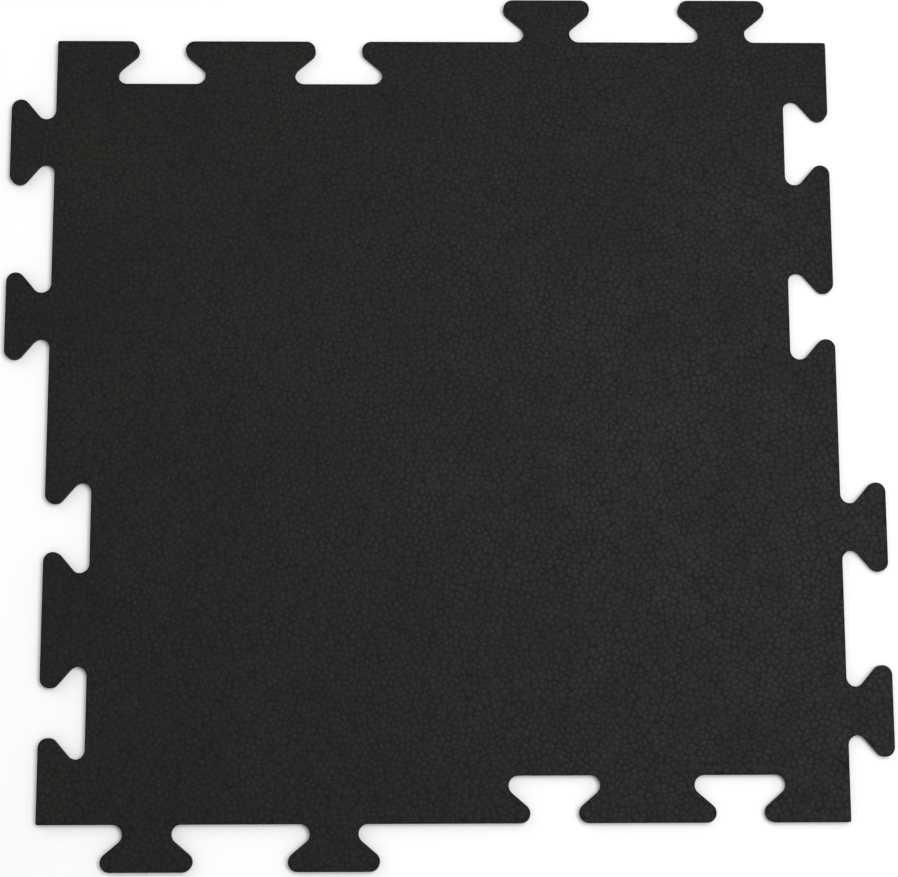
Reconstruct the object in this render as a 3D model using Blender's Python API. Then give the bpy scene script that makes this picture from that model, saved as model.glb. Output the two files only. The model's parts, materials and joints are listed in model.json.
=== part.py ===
# An interlocking rubber floor tile: a square slab with a pair of dovetail sockets and a pair of
# dovetail tabs along each of its four edges. Turned round by a quarter, the tile is the same, so
# identical tiles lock together into a floor of any size.
#
# Metres, +Z up. The origin is at the middle of the underside, and the tile lies on Z = 0.

import math

import bmesh
import bpy
from mathutils import Matrix, Vector

INCH = 0.0254

# Driving dimensions
SIDE = 24 * INCH  # the square that one tile covers in a floor, without its tabs
THICKNESS = 0.25 * INCH
PAIR_CENTRE = SIDE / 4  # a corner to the middle of its nearest pair of sockets or tabs
PITCH = 5.5 * INCH  # centre to centre within a pair
TAB_HEIGHT = 1.375 * INCH  # how far a tab stands out of its edge
HEAD_WIDTH = 2.7 * INCH  # a tab at its widest
NECK_WIDTH = 1.43 * INCH  # a tab at its narrowest
ARC_RADIUS = 7.3e-3  # of the rounds at a tab's neck and on its head
SOCKET_CLEARANCE = 0.25e-3  # a socket is larger than a tab by this much all round
CORNER_RADIUS = 1.4e-3  # of the tile's four corners, seen from above
TOP_EASE = 0.4e-3  # of the round on the top rim

# Facets
ARC_STEPS = 8  # on each round of a tab or socket
CORNER_STEPS = 4
EASE_STEPS = 2
SHARP_ANGLE = math.radians(50)  # a steeper bend than this is shaded as a crease

RUBBER_COLOUR = (0.021, 0.023, 0.021, 1.0)
RUBBER_ROUGHNESS = 0.62


def arc(centre, radius, start, end, steps):
    """Points along an arc, from the start angle to the end angle, both ends included."""
    angles = (start + (end - start) * step / steps for step in range(steps + 1))
    return [centre + radius * Vector((math.cos(a), math.sin(a))) for a in angles]


def half_dovetail(growth):
    """The right half of a dovetail that stands on the X axis, from its foot up to its end.

    A hollow round leaves the edge, a straight flank flares outwards, tangent to both rounds, and
    a full round turns it into the flat end. Growth widens and lengthens the whole shape.
    """
    hollow = Vector((NECK_WIDTH / 2 + growth + ARC_RADIUS, ARC_RADIUS))
    full = Vector((HEAD_WIDTH / 2 + growth - ARC_RADIUS, TAB_HEIGHT + growth - ARC_RADIUS))
    between = full - hollow
    flare = math.atan2(between.y, between.x) - math.asin(2 * ARC_RADIUS / between.length)
    quarter = math.pi / 2
    foot = arc(hollow, ARC_RADIUS, -quarter, flare - 3 * quarter, ARC_STEPS)
    head = arc(full, ARC_RADIUS, flare - quarter, quarter, ARC_STEPS)
    return foot + head


def dovetail(centre, outwards):
    """One tab (outwards = 1) or socket (outwards = -1), as points from left to right."""
    right = half_dovetail(0.0 if outwards > 0 else SOCKET_CLEARANCE)
    left = [Vector((-p.x, p.y)) for p in right]
    return [Vector((centre + p.x, outwards * p.y)) for p in left + right[::-1]]


def edge_points():
    """The tile's back edge from left to right, from its left corner up to its right corner."""
    near, far = PAIR_CENTRE - PITCH / 2, PAIR_CENTRE + PITCH / 2
    corner = Vector((CORNER_RADIUS, -CORNER_RADIUS))
    points = arc(corner, CORNER_RADIUS, math.pi, math.pi / 2, CORNER_STEPS)
    for centre in (near, far):
        points += dovetail(centre, -1)
    for centre in (SIDE - far, SIDE - near):
        points += dovetail(centre, 1)
    return points


def outline():
    """The whole outline, clockwise seen from above: the back edge turned to each side in turn."""
    to_middle = Vector((-SIDE / 2, SIDE / 2))
    back = [p + to_middle for p in edge_points()]
    turns = (Matrix.Rotation(-math.pi / 2 * side, 2) for side in range(4))
    return [turn @ p for turn in turns for p in back]


def round_off_rim(bm, height, width):
    """Rounds off every edge that lies flat at this height."""
    rim = [e for e in bm.edges if all(abs(v.co.z - height) < 1e-6 for v in e.verts)]
    bmesh.ops.bevel(
        bm,
        geom=rim,
        offset=width,
        offset_type="OFFSET",
        segments=EASE_STEPS,
        profile=0.5,
        affect="EDGES",
    )


def tile_mesh(name):
    bm = bmesh.new()
    underside = bm.faces.new([bm.verts.new((p.x, p.y, 0.0)) for p in reversed(outline())])
    raised = bmesh.ops.extrude_face_region(bm, geom=[underside], use_keep_orig=True)
    top_verts = [g for g in raised["geom"] if isinstance(g, bmesh.types.BMVert)]
    bmesh.ops.translate(bm, verts=top_verts, vec=(0.0, 0.0, THICKNESS))
    round_off_rim(bm, THICKNESS, TOP_EASE)
    bmesh.ops.triangulate(bm, faces=bm.faces, ngon_method="BEAUTY")
    bmesh.ops.recalc_face_normals(bm, faces=bm.faces)
    mesh = bpy.data.meshes.new(name)
    bm.to_mesh(mesh)
    bm.free()
    mesh.shade_smooth()
    mesh.set_sharp_from_angle(angle=SHARP_ANGLE)
    return mesh


def rubber():
    material = bpy.data.materials.new("black_rubber")
    material.use_nodes = True
    shader = material.node_tree.nodes["Principled BSDF"]
    shader.inputs["Base Color"].default_value = RUBBER_COLOUR
    shader.inputs["Roughness"].default_value = RUBBER_ROUGHNESS
    shader.inputs["Metallic"].default_value = 0.0
    return material


def main():
    for obj in list(bpy.data.objects):
        bpy.data.objects.remove(obj, do_unlink=True)
    tile = bpy.data.objects.new("rubber_tile", tile_mesh("rubber_tile"))
    tile.data.materials.append(rubber())
    bpy.context.scene.collection.objects.link(tile)


main()
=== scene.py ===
import json
import math

import bpy
import numpy as np
from mathutils import Matrix, Vector
from mathutils.geometry import delaunay_2d_cdt


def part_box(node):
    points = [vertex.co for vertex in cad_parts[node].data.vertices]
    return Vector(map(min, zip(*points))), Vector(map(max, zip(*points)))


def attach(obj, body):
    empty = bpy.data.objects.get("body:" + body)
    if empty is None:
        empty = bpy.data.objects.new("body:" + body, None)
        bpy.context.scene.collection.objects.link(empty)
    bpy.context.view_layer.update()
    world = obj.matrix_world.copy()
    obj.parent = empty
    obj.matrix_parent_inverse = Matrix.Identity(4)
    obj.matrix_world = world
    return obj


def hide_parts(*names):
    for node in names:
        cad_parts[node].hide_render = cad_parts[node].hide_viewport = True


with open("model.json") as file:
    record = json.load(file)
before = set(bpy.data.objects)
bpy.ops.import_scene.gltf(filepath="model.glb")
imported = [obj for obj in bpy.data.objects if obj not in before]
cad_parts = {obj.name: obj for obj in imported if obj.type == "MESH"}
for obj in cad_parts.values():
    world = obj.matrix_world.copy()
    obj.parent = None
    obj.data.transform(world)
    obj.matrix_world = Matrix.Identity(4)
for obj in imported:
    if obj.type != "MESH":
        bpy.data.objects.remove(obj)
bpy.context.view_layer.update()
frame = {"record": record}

# A black rubber floor tile with dovetail tabs and sockets, made as one closed skin: a grained top,
# a rounded rim, cut sides and a plain underside. Metres, +Z up, underside on Z = 0.

low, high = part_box("rubber_tile")
mounts = {mount["name"]: Vector(mount["pos_m"]) for mount in frame["record"]["mounts"]}

outline = {
    "halfSide": mounts["back_edge_at_tabs"].y,  # of the square, without its tabs
    "pairOffset": mounts["back_edge_at_tabs"].x,  # tile's middle to the middle of a pair
    "pitch": 0.1397,  # centre to centre within a pair of tabs or sockets
    "tabHeight": high.y - mounts["back_edge_at_tabs"].y,
    "headWidth": 0.06858,
    "neckWidth": 0.036322,
    "arcRadius": 0.0073,  # of the rounds at a tab's neck and on its head
    "socketClearance": 0.00025,
    "cornerRadius": 0.0014,
    "arcSteps": 11,  # facets on each round
    "cornerSteps": 4,
    "longestFacet": 0.0030,  # straight stretches are divided to this
}


def arc(centre, radius, start, end, steps):
    # centre + radius * (cos a, sin a), for equal steps of the angle a
    a = np.linspace(start, end, steps + 1)
    return np.asarray(centre) + radius * np.stack([np.cos(a), np.sin(a)], axis=1)


def dovetail(centre, outwards, inset):
    # A tab (outwards = 1) or socket (outwards = -1) from left to right. Its half is a hollow round
    # at the foot and a full round at the head, joined by the straight line that touches both.
    # Moving the outline inwards by the inset only changes the two radii.
    o, r = outline, outline["arcRadius"]
    growth = o["socketClearance"] if outwards < 0 else 0.0
    hollow = np.array([o["neckWidth"] / 2 + growth + r, r])
    full = np.array([o["headWidth"] / 2 + growth - r, o["tabHeight"] + growth - r])
    reach, rise = full - hollow
    flare = math.atan2(rise, reach) - math.asin(2 * r / math.hypot(reach, rise))
    quarter, step = math.pi / 2, outwards * inset
    foot = arc(hollow, r + step, -quarter, flare - 3 * quarter, o["arcSteps"])
    head = arc(full, r - step, flare - quarter, quarter, o["arcSteps"])
    right = np.concatenate([foot, head])
    both = np.concatenate([right * (-1, 1), right[::-1]])
    return both * (1, outwards) + (centre, 0)


def backEdge(inset):
    # The back edge from its left corner to its right one, without the points of its next corner
    o = outline
    half, near, far = o["halfSide"], o["pairOffset"] - o["pitch"] / 2, o["pairOffset"] + o["pitch"] / 2
    corner = np.array([-half + o["cornerRadius"], -o["cornerRadius"]])
    parts = [arc(corner, o["cornerRadius"] - inset, math.pi, math.pi / 2, o["cornerSteps"])]
    parts += [dovetail(centre, -1, inset) for centre in (-far, -near)]
    parts += [dovetail(centre, 1, inset) for centre in (near, far)]
    return np.concatenate(parts) + (0, half)


def turned(points, quarters):
    # Turned clockwise, seen from above, by so many quarter turns
    for _ in range(quarters % 4):
        points = np.stack([points[:, 1], -points[:, 0]], axis=1)
    return points


def wholeEdge(inset):
    # The back edge, turned to the four sides, clockwise from the back
    return np.concatenate([turned(backEdge(inset), side) for side in range(4)])


def splitEvenly(points, counts):
    # Each stretch from one point of a closed loop to the next is divided into its own count
    start = np.repeat(points, counts, axis=0)
    run = np.repeat(np.roll(points, -1, axis=0) - points, counts, axis=0)
    step = np.arange(counts.sum()) - np.repeat(np.cumsum(counts) - counts, counts)
    return start + run * (step / np.repeat(counts, counts))[:, None]


plainLoop = wholeEdge(0.0)
stretches = np.linalg.norm(np.roll(plainLoop, -1, axis=0) - plainLoop, axis=1)
facetCounts = np.ceil(stretches / outline["longestFacet"]).astype(int)
print("outline:", facetCounts.sum(), "points")


grain = {
    "seed": 24,
    "pitch": 0.0050,  # centre to centre of neighbouring pebbles
    "scatter": 0.25,  # how far a pebble is off a regular honeycomb, as a share of the pitch
    "drift": 0.0065,  # slow sideways waves, which hide the rows of the honeycomb
    "driftLengths": (0.071, 0.113),
    "shortestCrease": 0.0013,  # corners closer than this become one
    "shoulder": 0.50,  # a pebble's flat top ends this share of the way from its corner to its middle
    "shouldersKept": 0.70,  # the rest are left out, so that tops differ in shape
    "fewestShoulders": 2,  # a pebble left with fewer has them all
    "depth": 0.00036,  # of the creases, below the crests
    "depthSpread": 0.32,
    "levelSpread": 0.00004,  # between the crests of different pebbles
    "tilt": 0.020,  # slope of a pebble's top
    "rimMargin": 0.0003,  # plain strip between the grain and the round of the rim
    "mergePasses": 4,  # so that chains of short creases become one corner too
    "halvings": 12,  # to find where the edge cuts a crease
    "samePoint": 1e-9,  # points closer than this count as one
}


def pebbleMiddles(rng):
    # A honeycomb lattice, which reaches a few pebbles past the tile, bent by two slow waves, with
    # every middle moved a little at random
    g, reach = grain, high.x + 3 * grain["pitch"]
    rows = np.arange(-reach, reach, g["pitch"] * math.sqrt(0.75))
    columns = np.arange(-reach, reach, g["pitch"])
    x, y = np.meshgrid(columns, rows)
    x = x + (np.arange(len(rows)) % 2)[:, None] * g["pitch"] / 2
    middles = np.stack([x.ravel(), y.ravel()], axis=1)
    for length in g["driftLengths"]:
        wave = 2 * math.pi * middles[:, ::-1] / length + rng.uniform(0, 2 * math.pi, 2)
        middles = middles + g["drift"] * length / sum(g["driftLengths"]) * np.sin(wave)
    return middles + rng.normal(0, g["scatter"] * g["pitch"], middles.shape)


def circumcentres(a, b, c):
    # The point as far from each of three: where the creases round three pebbles meet
    b, c = b - a, c - a
    twice = 2 * (b[:, 0] * c[:, 1] - b[:, 1] * c[:, 0])
    bb, cc = (b * b).sum(axis=1), (c * c).sum(axis=1)
    x = (c[:, 1] * bb - b[:, 1] * cc) / twice
    y = (b[:, 0] * cc - c[:, 0] * bb) / twice
    return a + np.stack([x, y], axis=1)


def neighbours(triangles):
    # Pairs of triangles that share a side
    sides = np.concatenate([triangles[:, [0, 1]], triangles[:, [1, 2]], triangles[:, [2, 0]]])
    sides = np.sort(sides, axis=1)
    owner = np.tile(np.arange(len(triangles)), 3)
    order = np.lexsort((sides[:, 1], sides[:, 0]))
    sides, owner = sides[order], owner[order]
    same = (sides[1:] == sides[:-1]).all(axis=1)
    return np.stack([owner[:-1][same], owner[1:][same]], axis=1)


def insideEdge(points, inset):
    # Each point is turned to the back quarter of the tile. It is inside if a line from it to the
    # right crosses the closed chain of the back edge and the tile's middle an odd number of times.
    x, y = points.T
    sideways = np.abs(x) > np.abs(y)
    u = np.where(sideways, -np.sign(x) * y, np.sign(y) * x)
    v = np.where(sideways, np.abs(x), np.abs(y))
    found = v < outline["halfSide"] - 2 * outline["tabHeight"]  # further in than any socket
    chain = backEdge(inset)
    right, left = outline["halfSide"] - inset, -outline["halfSide"] + inset
    corner = turned(chain[: outline["cornerSteps"] + 1], 1)
    chain = np.concatenate([chain, corner, [[right, 0.0], [left, 0.0]]])
    ahead = np.roll(chain, -1, axis=0)
    near = np.flatnonzero(~found)
    pu, pv = u[near, None], v[near, None]
    with np.errstate(divide="ignore", invalid="ignore"):
        at = chain[:, 0] + (pv - chain[:, 1]) * (ahead - chain)[:, 0] / (ahead - chain)[:, 1]
    crossed = ((chain[:, 1] > pv) != (ahead[:, 1] > pv)) & (pu < at)
    found[near] = crossed.sum(axis=1) % 2 == 1
    return found


def crossings(inner, outer, inset):
    # Where the line from each inner point to its outer one meets the edge, found by halving
    for _ in range(grain["halvings"]):
        middle = (inner + outer) / 2
        found = insideEdge(middle, inset)[:, None]
        inner, outer = np.where(found, middle, inner), np.where(found, outer, middle)
    return inner


def grainPoints(rng, inset):
    # Points, the creases that join some of them, how deep each lies (0 crest, 1 deepest crease), its
    # height below the crests, and its pebble's tone
    g = grain
    middles = pebbleMiddles(rng)
    triangles = np.array(delaunay_2d_cdt(middles.tolist(), [], [], 0, g["samePoint"])[2])
    corners = circumcentres(*(middles[triangles[:, k]] for k in range(3)))
    pairs = neighbours(triangles)

    # Corners at the two ends of a short crease become one, at their mean
    gap = np.linalg.norm(corners[pairs[:, 0]] - corners[pairs[:, 1]], axis=1)
    short = pairs[gap < g["shortestCrease"]]
    label = np.arange(len(corners))
    for _ in range(g["mergePasses"]):
        lowest = np.minimum(label[short[:, 0]], label[short[:, 1]])
        np.minimum.at(label, short[:, 0], lowest)
        np.minimum.at(label, short[:, 1], lowest)
    label = np.unique(label, return_inverse=True)[1]
    share = np.bincount(label)
    corners = np.stack([np.bincount(label, corners[:, k]) / share for k in (0, 1)], axis=1)

    # One point of a pebble's top for each corner that the pebble has
    belongs = np.unique(np.stack([np.repeat(label, 3), triangles.ravel()], axis=1), axis=0)
    kept = rng.random(len(belongs)) < g["shouldersKept"]
    few = np.bincount(belongs[kept, 1], minlength=len(middles)) < g["fewestShoulders"]
    corner, pebble = belongs[kept | few[belongs[:, 1]]].T
    shoulders = corners[corner] + (middles[pebble] - corners[corner]) * g["shoulder"]
    level = rng.exponential(g["levelSpread"], len(middles))
    slope = rng.normal(0, g["tilt"], middles.shape)
    tone = rng.random(len(middles))
    lean = ((shoulders - middles[pebble]) * slope[pebble]).sum(axis=1)
    shoulderDrop = np.maximum(level[pebble] + lean, 0)
    cornerTone = np.bincount(belongs[:, 0], tone[belongs[:, 1]]) / np.bincount(belongs[:, 0])
    cornerDrop = g["depth"] * (1 + g["depthSpread"] * rng.uniform(-1, 1, len(corners)))
    creases = np.unique(np.sort(label[pairs], axis=1), axis=0)
    creases = creases[creases[:, 0] != creases[:, 1]]

    # A crease or a pebble's top that the edge cuts ends on the edge
    within = insideEdge(corners, inset)
    leaving = within[creases[:, 0]] != within[creases[:, 1]]
    swap = ~within[creases[:, 0]] & leaving
    creases[swap] = creases[swap][:, ::-1]
    creases = creases[within[creases[:, 0]]]
    cutOff = np.flatnonzero(~within[creases[:, 1]])
    inner, outer = creases[cutOff].T
    ends = crossings(corners[inner], corners[outer], inset)
    creases[cutOff, 1] = len(corners) + np.arange(len(cutOff))
    topWithin, middleWithin = insideEdge(shoulders, inset), insideEdge(middles, inset)
    cutTops = ~topWithin & middleWithin[pebble]
    shoulders[cutTops] = crossings(middles[pebble[cutTops]], shoulders[cutTops], inset)

    points = np.concatenate([corners, ends, shoulders])
    drop = np.concatenate([cornerDrop, cornerDrop[inner], shoulderDrop])
    shade = cornerDrop / cornerDrop.max()
    depth = np.concatenate([shade, shade[inner], np.zeros(len(shoulders))])
    tones = np.concatenate([cornerTone, cornerTone[inner], tone[pebble]])
    keep = np.concatenate([within, np.ones(len(ends), bool), topWithin | cutTops])
    creases = (np.cumsum(keep) - 1)[creases]
    return points[keep], creases, depth[keep], drop[keep], tones[keep]


skin = {
    "rimRound": 0.0004,  # of the top edge
    "rimSteps": 2,
    "footRound": 0.0004,  # of the bottom edge
    "sideHollow": 0.00007,  # the cut sides are very slightly hollow
    "sideHeights": (0.5,),  # where the hollow is, as shares of the thickness
    "rimDrop": 0.00005,  # how far the rim lies below the grain beside it
    "rimShare": 0.8,  # of the rise and fall of that grain, which the rim follows
}


def loopLevels():
    # (inset, height) from the top rim down to the underside: a quarter round, radius * (1 - sin a)
    # in and radius * (1 - cos a) down, then the slightly hollow side and an eased bottom edge
    s, top = skin, high.z
    angle = np.linspace(0, math.pi / 2, s["rimSteps"] + 1)
    inset = s["rimRound"] * (1 - np.sin(angle))
    height = top - s["rimRound"] * (1 - np.cos(angle))
    levels = list(zip(inset, height))
    levels += [(s["sideHollow"], top * share) for share in sorted(s["sideHeights"], reverse=True)]
    return levels + [(0.0, s["footRound"]), (s["footRound"], 0.0)]


def triangulate(points, edges):
    # Triangles between the points, inside the closed loop that the edges hold, with none across an edge
    return np.array(delaunay_2d_cdt(points.tolist(), edges.tolist(), [], 1, grain["samePoint"])[2])


def tileSkin():
    # The top fills the rim loop round the points of the grain. Strips join that loop to the ones
    # below it, each further down and in or out, and the underside fills the last loop.
    rng = np.random.default_rng(grain["seed"])
    s, top = skin, high.z
    points, creases, depth, drop, tones = grainPoints(rng, s["rimRound"] + grain["rimMargin"])
    levels = loopLevels()
    loops = [splitEvenly(wholeEdge(inset), facetCounts) for inset, _ in levels]
    size = len(loops[0])
    ring = np.arange(size)

    # The rim follows the grain beside it up and down, more at the top than further down its round
    beside = np.flatnonzero(~insideEdge(points, s["rimRound"] + grain["pitch"] / 2))
    away = ((loops[0][:, None] - points[beside]) ** 2).sum(axis=2)
    nearest = beside[away.argmin(axis=1)]
    rimDrop = s["rimDrop"] + s["rimShare"] * drop[nearest]
    shares = [max(0.0, 1 - (top - height) / s["rimRound"]) for _, height in levels]
    heights = [height - rimDrop * share for (_, height), share in zip(levels, shares)]
    heights = [np.broadcast_to(row, size) for row in heights]

    rim = np.stack([ring, np.roll(ring, -1)], axis=1)
    flat = np.concatenate([loops[0], points])
    edges = np.concatenate([rim, creases + size])
    topFaces = triangulate(flat, edges)
    print("top:", len(flat), "points,", len(topFaces), "triangles")

    # Loops below the first are numbered after the points of the top
    first = [0] + [len(flat) + size * k for k in range(len(levels) - 1)]
    sides = []
    for upper, lower in zip(first[:-1], first[1:]):
        a, b = upper + ring, upper + np.roll(ring, -1)
        c, d = lower + np.roll(ring, -1), lower + ring
        sides += [np.stack([a, b, c], axis=1), np.stack([a, c, d], axis=1)]
    under = triangulate(loops[-1], rim)[:, ::-1] + first[-1]

    xy = np.concatenate([flat] + loops[1:])
    z = np.concatenate([heights[0], top - drop] + heights[1:])
    vertices = np.column_stack([xy, z])
    rest = size * (len(levels) - 1)
    # The crease attribute sets the painted shade (with some dust) and the duller creases in the
    # material; the rim takes part of it from the grain beside it
    attributes = {
        "crease": np.concatenate([depth[nearest] * s["rimShare"], depth, np.zeros(rest)]),
        "pebbleTone": np.concatenate([tones[nearest], tones, np.full(rest, 0.5)]),
        "cutSide": np.concatenate([np.zeros(size + len(points)), np.ones(rest)]),
    }
    triangles = np.concatenate([topFaces, *sides, under])
    smooth = np.arange(len(triangles)) < len(triangles) - len(under)
    return vertices, triangles, smooth, attributes


def buildMesh(name, vertices, triangles, smooth, attributes):
    mesh = bpy.data.meshes.new(name)
    mesh.vertices.add(len(vertices))
    mesh.vertices.foreach_set("co", vertices.astype(np.float32).ravel())
    mesh.loops.add(triangles.size)
    mesh.loops.foreach_set("vertex_index", triangles.astype(np.int32).ravel())
    mesh.polygons.add(len(triangles))
    mesh.polygons.foreach_set("loop_start", np.arange(0, triangles.size, 3, dtype=np.int32))
    mesh.polygons.foreach_set("use_smooth", smooth)
    for key, values in attributes.items():
        layer = mesh.attributes.new(key, "FLOAT", "POINT")
        layer.data.foreach_set("value", values.astype(np.float32))
    mesh.update(calc_edges=True)
    piece = bpy.data.objects.new(name, mesh)
    bpy.context.scene.collection.objects.link(piece)
    return piece


rubber = {
    "colour": (0.0080, 0.0095, 0.0073, 1),
    "worn": (0.0131, 0.0155, 0.0121, 1),
    # crease colour: painted shade with some dust, strongest where the creases are deepest
    "crease": (0.0058, 0.0071, 0.0053, 1),
    "gloss": 0.105,  # specular level
    "roughTop": 0.48,
    "roughCrease": 0.74,
    "roughCut": 0.66,  # of the cut sides
    "roughPatches": 0.10,  # added where the top is duller
    "creaseRange": (0.1, 0.9),  # depths at which a crease starts to darken with painted shade and some dust, and is darkest
    "mottle": {"scale": 9.0, "range": (0.35, 0.65), "share": 0.35},  # shares of the worn colour
    "pebbleShare": 0.45,
    "specks": {"scale": 2200.0, "range": (0.45, 0.75), "share": 0.20},
    "patches": {"scale": 38.0, "range": (0.3, 0.7)},
    "hair": {"scale": 420.0, "turn": 0.4, "width": 0.14, "share": 0.35},  # shares of the relief
    "tooth": {"scale": 3600.0, "rough": 0.6, "share": 0.25},
    "lumps": {"scale": 700.0, "share": 0.60},
    "relief": 0.00006,  # height of what is too fine for the mesh
}


def node(tree, kind, inputs=None, **settings):
    made = tree.nodes.new(kind)
    for key, value in settings.items():
        setattr(made, key, value)
    for key, value in (inputs or {}).items():
        if isinstance(value, bpy.types.NodeSocket):
            tree.links.new(value, made.inputs[key])
        else:
            made.inputs[key].default_value = value
    return made


def ramp(tree, value, low, high):
    # The value's stretch from low to high becomes 0 to 1
    made = node(tree, "ShaderNodeMapRange", {0: value, 1: low, 2: high}, clamp=True)
    return made.outputs[0]


def mixColours(tree, share, first, second):
    return node(tree, "ShaderNodeMix", {0: share, 6: first, 7: second}, data_type="RGBA").outputs[2]


def mixNumbers(tree, share, first, second):
    return node(tree, "ShaderNodeMix", {0: share, 2: first, 3: second}, data_type="FLOAT").outputs[0]


def maths(tree, operation, first, second):
    return node(tree, "ShaderNodeMath", {0: first, 1: second}, operation=operation).outputs[0]


def weighted(tree, values, shares):
    # The sum of the values, each times its share
    parts = [maths(tree, "MULTIPLY", value, share) for value, share in zip(values, shares)]
    total = parts[0]
    for part in parts[1:]:
        total = maths(tree, "ADD", total, part)
    return total


def noise(tree, where, scale, detail=3.0, rough=0.5):
    settings = {"Vector": where, "Scale": scale, "Detail": detail, "Roughness": rough}
    return node(tree, "ShaderNodeTexNoise", settings).outputs[0]


def blackRubber():
    r = rubber
    material = bpy.data.materials.new("blackRubber")
    material.use_nodes = True
    tree = material.node_tree
    shader = tree.nodes["Principled BSDF"]
    where = node(tree, "ShaderNodeTexCoord").outputs["Object"]
    crease = node(tree, "ShaderNodeAttribute", attribute_name="crease").outputs["Fac"]
    tone = node(tree, "ShaderNodeAttribute", attribute_name="pebbleTone").outputs["Fac"]
    cut = node(tree, "ShaderNodeAttribute", attribute_name="cutSide").outputs["Fac"]

    # Colour: a slow mottle, a tone for each pebble, creases darkened with painted shade and some dust,
    # and fine specks
    mottle = ramp(tree, noise(tree, where, r["mottle"]["scale"]), *r["mottle"]["range"])
    specks = ramp(tree, noise(tree, where, r["specks"]["scale"], detail=2.0), *r["specks"]["range"])
    shares = (r["mottle"]["share"], r["pebbleShare"], r["specks"]["share"])
    colour = mixColours(tree, weighted(tree, (mottle, tone, specks), shares), r["colour"], r["worn"])
    # Painted shade: the creases darken towards the crease colour as they get deeper, shade together
    # with some dust
    deep = ramp(tree, crease, *r["creaseRange"])
    colour = mixColours(tree, deep, colour, r["crease"])
    tree.links.new(colour, shader.inputs["Base Color"])

    # Roughness: the crests are rubbed smoother than the creases, and the cut sides are dull
    patchy = ramp(tree, noise(tree, where, r["patches"]["scale"]), *r["patches"]["range"])
    top = maths(tree, "ADD", r["roughTop"], maths(tree, "MULTIPLY", patchy, r["roughPatches"]))
    rough = mixNumbers(tree, deep, top, r["roughCrease"])
    rough = mixNumbers(tree, cut, rough, r["roughCut"])
    tree.links.new(rough, shader.inputs["Roughness"])
    shader.inputs["Specular IOR Level"].default_value = r["gloss"]

    # Relief too fine for the mesh: hair creases across the pebbles, a fine tooth and soft lumps
    turn = {"Vector": where, "Rotation": (0, 0, r["hair"]["turn"])}
    cells = {"Vector": node(tree, "ShaderNodeMapping", turn).outputs[0], "Scale": r["hair"]["scale"]}
    cells = node(tree, "ShaderNodeTexVoronoi", cells, feature="DISTANCE_TO_EDGE").outputs["Distance"]
    hair = ramp(tree, cells, 0.0, r["hair"]["width"])
    tooth = noise(tree, where, r["tooth"]["scale"], detail=2.0, rough=r["tooth"]["rough"])
    lumps = noise(tree, where, r["lumps"]["scale"], detail=2.0)
    shares = [r[kind]["share"] for kind in ("hair", "tooth", "lumps")]
    height = weighted(tree, (hair, tooth, lumps), shares)
    bump = node(tree, "ShaderNodeBump", {"Height": height, "Strength": 1.0, "Distance": r["relief"]})
    tree.links.new(bump.outputs[0], shader.inputs["Normal"])
    return material


print("skin: working out the grain")
tile = buildMesh("tileSkin", *tileSkin())
tile.data.materials.append(blackRubber())
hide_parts("rubber_tile")
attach(tile, "root")


room = {
    "floorHalf": 60.0,
    "floorDrop": 0.0002,  # just clear of the tile's underside
    "floorColour": (0.86, 0.86, 0.86, 1),
    "floorRough": 0.8,
    "floorGloss": 0.2,
    "world": (1.0, 1.0, 1.0, 1),
    "worldStrength": 0.6,
}


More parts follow.
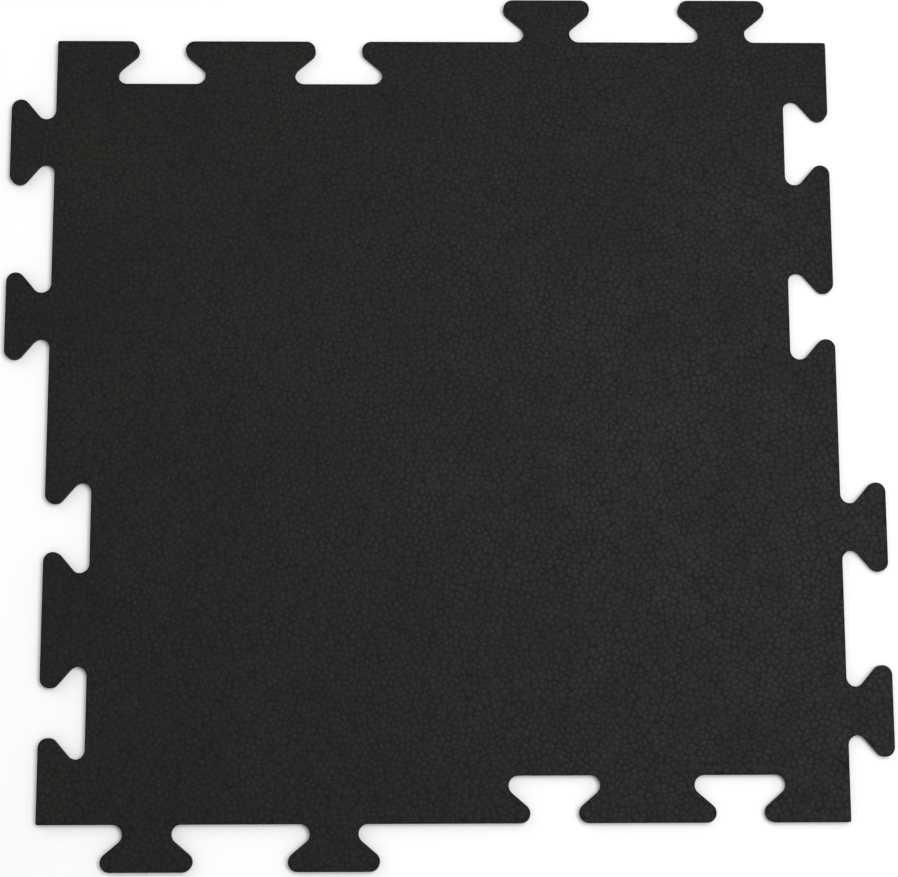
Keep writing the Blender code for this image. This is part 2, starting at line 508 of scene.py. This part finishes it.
def paleFloor():
    half, drop = room["floorHalf"], room["floorDrop"]
    corners = np.array([[-1, -1, 0], [1, -1, 0], [1, 1, 0], [-1, 1, 0]]) * half - (0, 0, drop)
    mesh = bpy.data.meshes.new("floor")
    mesh.from_pydata(corners.tolist(), [], [(0, 1, 2, 3)])
    floor = bpy.data.objects.new("floor", mesh)
    bpy.context.scene.collection.objects.link(floor)
    material = bpy.data.materials.new("paleFloor")
    material.use_nodes = True
    shader = material.node_tree.nodes["Principled BSDF"]
    shader.inputs["Base Color"].default_value = room["floorColour"]
    shader.inputs["Roughness"].default_value = room["floorRough"]
    shader.inputs["Specular IOR Level"].default_value = room["floorGloss"]
    mesh.materials.append(material)


softBoxes = {
    "topBox": {"place": (0.50, 0.35, 2.0), "aim": (0.1, 0, 0), "side": 0.9, "power": 19},
    "rightBox": {"place": (0.95, -0.25, 2.0), "aim": (0.2, -0.1, 0), "side": 0.6, "power": 11},
    "leftBox": {"place": (-1.6, 1.3, 1.3), "aim": (-0.1, 0, 0), "side": 1.2, "power": 6},
}


def softBox(name, place, aim, side, power):
    light = bpy.data.lights.new(name, "AREA")
    light.shape, light.size, light.energy = "SQUARE", side, power
    box = bpy.data.objects.new(name, light)
    bpy.context.scene.collection.objects.link(box)
    box.location = place
    box.rotation_euler = (Vector(aim) - Vector(place)).to_track_quat("-Z", "Y").to_euler()


def studio():
    world = bpy.data.worlds.new("studio")
    bpy.context.scene.world = world
    world.use_nodes = True
    shade = world.node_tree.nodes["Background"]
    shade.inputs["Color"].default_value = room["world"]
    shade.inputs["Strength"].default_value = room["worldStrength"]
    bpy.context.scene.view_settings.view_transform = "Standard"
    for name, box in softBoxes.items():
        softBox(name, **box)


shot = {
    "place": (-0.0180, -0.2227, 1.4093),  # above the tile's top
    "aim": (0.0040, -0.0140, 0.0),
    "roll": 0.163,  # degrees
    "lens": 74.22,
    "nearest": 0.05,  # nothing nearer than this is drawn
}


def setCamera():
    camera = bpy.data.cameras.new("camera")
    eye = bpy.data.objects.new("camera", camera)
    bpy.context.scene.collection.objects.link(eye)
    lift = Vector((0, 0, high.z))
    place, aim = Vector(shot["place"]) + lift, Vector(shot["aim"]) + lift
    forward = (aim - place).normalized()
    roll = math.radians(shot["roll"])
    right = forward.cross(Vector((math.sin(roll), math.cos(roll), 0))).normalized()
    up = right.cross(forward)
    eye.matrix_world = Matrix.Translation(place) @ Matrix((right, up, -forward)).transposed().to_4x4()
    camera.lens = shot["lens"]
    camera.clip_start = shot["nearest"]
    bpy.context.scene.camera = eye


paleFloor()
studio()
setCamera()
print("room, lights and camera ready")
